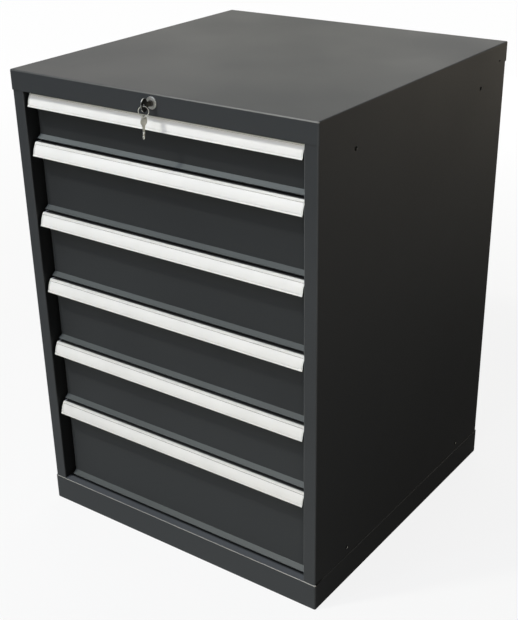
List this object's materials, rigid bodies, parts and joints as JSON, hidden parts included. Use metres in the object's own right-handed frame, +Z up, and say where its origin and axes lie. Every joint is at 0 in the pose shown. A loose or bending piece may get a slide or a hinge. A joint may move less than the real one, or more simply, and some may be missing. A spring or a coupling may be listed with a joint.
{
  "type": "drawer cabinet",
  "caption": "Free-standing steel drawer cabinet: folded cap and plinth, full-width handle profiles, telescopic drawers and a central key lock with a sliding bar.",
  "frame": {"origin": "centre of the footprint, on the floor", "axes": "+X right seen from the front, +Y from the front to the back, +Z up"},
  "size_m": [0.717, 0.7545, 1],
  "materials": {
    "carcase_paint": "fine-textured anthracite powder coat",
    "front_paint": "fine-textured anthracite powder coat",
    "tray_paint": "anthracite powder coat",
    "handle_aluminium": "pale satin",
    "end_cap_plastic": "pale moulded",
    "label_plastic": "pale strip",
    "zinc_steel": "zinc plated",
    "nickel": "nickel plated"
  },
  "bodies": {
    "carcase": {"side_panel_left": "carcase_paint", "side_panel_right": "carcase_paint", "back_panel": "carcase_paint", "body_rivets": "carcase_paint", "top_cap": "carcase_paint", "plinth_base": "carcase_paint", "front_rail": "carcase_paint", "uprights": "zinc_steel", "fixed_runners": "zinc_steel", "lock_cylinder": "nickel", "lock_nut": "zinc_steel", "bar_guides": "zinc_steel", "shaft_bracket": "zinc_steel"},
    "lock": {"lock_plug": "nickel", "inserted_key": "nickel"},
    "ring": {"key_ring": "nickel"},
    "locking_bar": {"lock_bar": "zinc_steel"},
    "drawer_1": {"drawer_1_tray": "tray_paint", "drawer_1_front": "front_paint", "drawer_1_handle": "handle_aluminium", "drawer_1_handle_end_caps": "end_cap_plastic", "drawer_1_label_strip": "label_plastic", "drawer_1_runners": "zinc_steel"},
    "slides_1": {"drawer_1_slide_members": "zinc_steel"},
    "drawer_2": {"drawer_2_tray": "tray_paint", "drawer_2_front": "front_paint", "drawer_2_handle": "handle_aluminium", "drawer_2_handle_end_caps": "end_cap_plastic", "drawer_2_label_strip": "label_plastic", "drawer_2_runners": "zinc_steel"},
    "slides_2": {"drawer_2_slide_members": "zinc_steel"},
    "drawer_3": {"drawer_3_tray": "tray_paint", "drawer_3_front": "front_paint", "drawer_3_handle": "handle_aluminium", "drawer_3_handle_end_caps": "end_cap_plastic", "drawer_3_label_strip": "label_plastic", "drawer_3_runners": "zinc_steel"},
    "slides_3": {"drawer_3_slide_members": "zinc_steel"},
    "drawer_4": {"drawer_4_tray": "tray_paint", "drawer_4_front": "front_paint", "drawer_4_handle": "handle_aluminium", "drawer_4_handle_end_caps": "end_cap_plastic", "drawer_4_label_strip": "label_plastic", "drawer_4_runners": "zinc_steel"},
    "slides_4": {"drawer_4_slide_members": "zinc_steel"},
    "drawer_5": {"drawer_5_tray": "tray_paint", "drawer_5_front": "front_paint", "drawer_5_handle": "handle_aluminium", "drawer_5_handle_end_caps": "end_cap_plastic", "drawer_5_label_strip": "label_plastic", "drawer_5_runners": "zinc_steel"},
    "slides_5": {"drawer_5_slide_members": "zinc_steel"},
    "drawer_6": {"drawer_6_tray": "tray_paint", "drawer_6_front": "front_paint", "drawer_6_handle": "handle_aluminium", "drawer_6_handle_end_caps": "end_cap_plastic", "drawer_6_label_strip": "label_plastic", "drawer_6_runners": "zinc_steel"},
    "slides_6": {"drawer_6_slide_members": "zinc_steel"}
  },
  "joints": [
    {"name": "drawer_1_slide", "type": "slide", "parent": "carcase", "child": "drawer_1", "axis": [0, -1, 0], "range_m": [0, 0.6]},
    {"name": "slides_1_slide", "type": "slide", "parent": "carcase", "child": "slides_1", "axis": [0, -1, 0], "range_m": [0, 0.3]},
    {"name": "drawer_2_slide", "type": "slide", "parent": "carcase", "child": "drawer_2", "axis": [0, -1, 0], "range_m": [0, 0.6]},
    {"name": "slides_2_slide", "type": "slide", "parent": "carcase", "child": "slides_2", "axis": [0, -1, 0], "range_m": [0, 0.3]},
    {"name": "drawer_3_slide", "type": "slide", "parent": "carcase", "child": "drawer_3", "axis": [0, -1, 0], "range_m": [0, 0.6]},
    {"name": "slides_3_slide", "type": "slide", "parent": "carcase", "child": "slides_3", "axis": [0, -1, 0], "range_m": [0, 0.3]},
    {"name": "drawer_4_slide", "type": "slide", "parent": "carcase", "child": "drawer_4", "axis": [0, -1, 0], "range_m": [0, 0.6]},
    {"name": "slides_4_slide", "type": "slide", "parent": "carcase", "child": "slides_4", "axis": [0, -1, 0], "range_m": [0, 0.3]},
    {"name": "drawer_5_slide", "type": "slide", "parent": "carcase", "child": "drawer_5", "axis": [0, -1, 0], "range_m": [0, 0.6]},
    {"name": "slides_5_slide", "type": "slide", "parent": "carcase", "child": "slides_5", "axis": [0, -1, 0], "range_m": [0, 0.3]},
    {"name": "drawer_6_slide", "type": "slide", "parent": "carcase", "child": "drawer_6", "axis": [0, -1, 0], "range_m": [0, 0.6]},
    {"name": "slides_6_slide", "type": "slide", "parent": "carcase", "child": "slides_6", "axis": [0, -1, 0], "range_m": [0, 0.3]},
    {"name": "lock_turn", "type": "hinge", "parent": "carcase", "child": "lock", "pos_m": [0.0045, -0.3665, 0.983], "axis": [0, 1, 0], "range_deg": [0, 90]},
    {"name": "locking_bar_slide", "type": "slide", "parent": "carcase", "child": "locking_bar", "axis": [0, 0, -1], "range_m": [0, 0.012]},
    {"name": "ring_swing", "type": "hinge", "parent": "lock", "child": "ring", "pos_m": [0.0045, -0.386, 0.983], "axis": [1, 0, 0], "range_deg": [-80, 20]}
  ],
  "couplings": [
    {"joint": "slides_1_slide", "follows": "drawer_1_slide", "ratio": 0.5},
    {"joint": "slides_2_slide", "follows": "drawer_2_slide", "ratio": 0.5},
    {"joint": "slides_3_slide", "follows": "drawer_3_slide", "ratio": 0.5},
    {"joint": "slides_4_slide", "follows": "drawer_4_slide", "ratio": 0.5},
    {"joint": "slides_5_slide", "follows": "drawer_5_slide", "ratio": 0.5},
    {"joint": "slides_6_slide", "follows": "drawer_6_slide", "ratio": 0.5},
    {"joint": "lock_turn", "follows": "locking_bar_slide", "rad_per_m": 130.8}
  ]
}
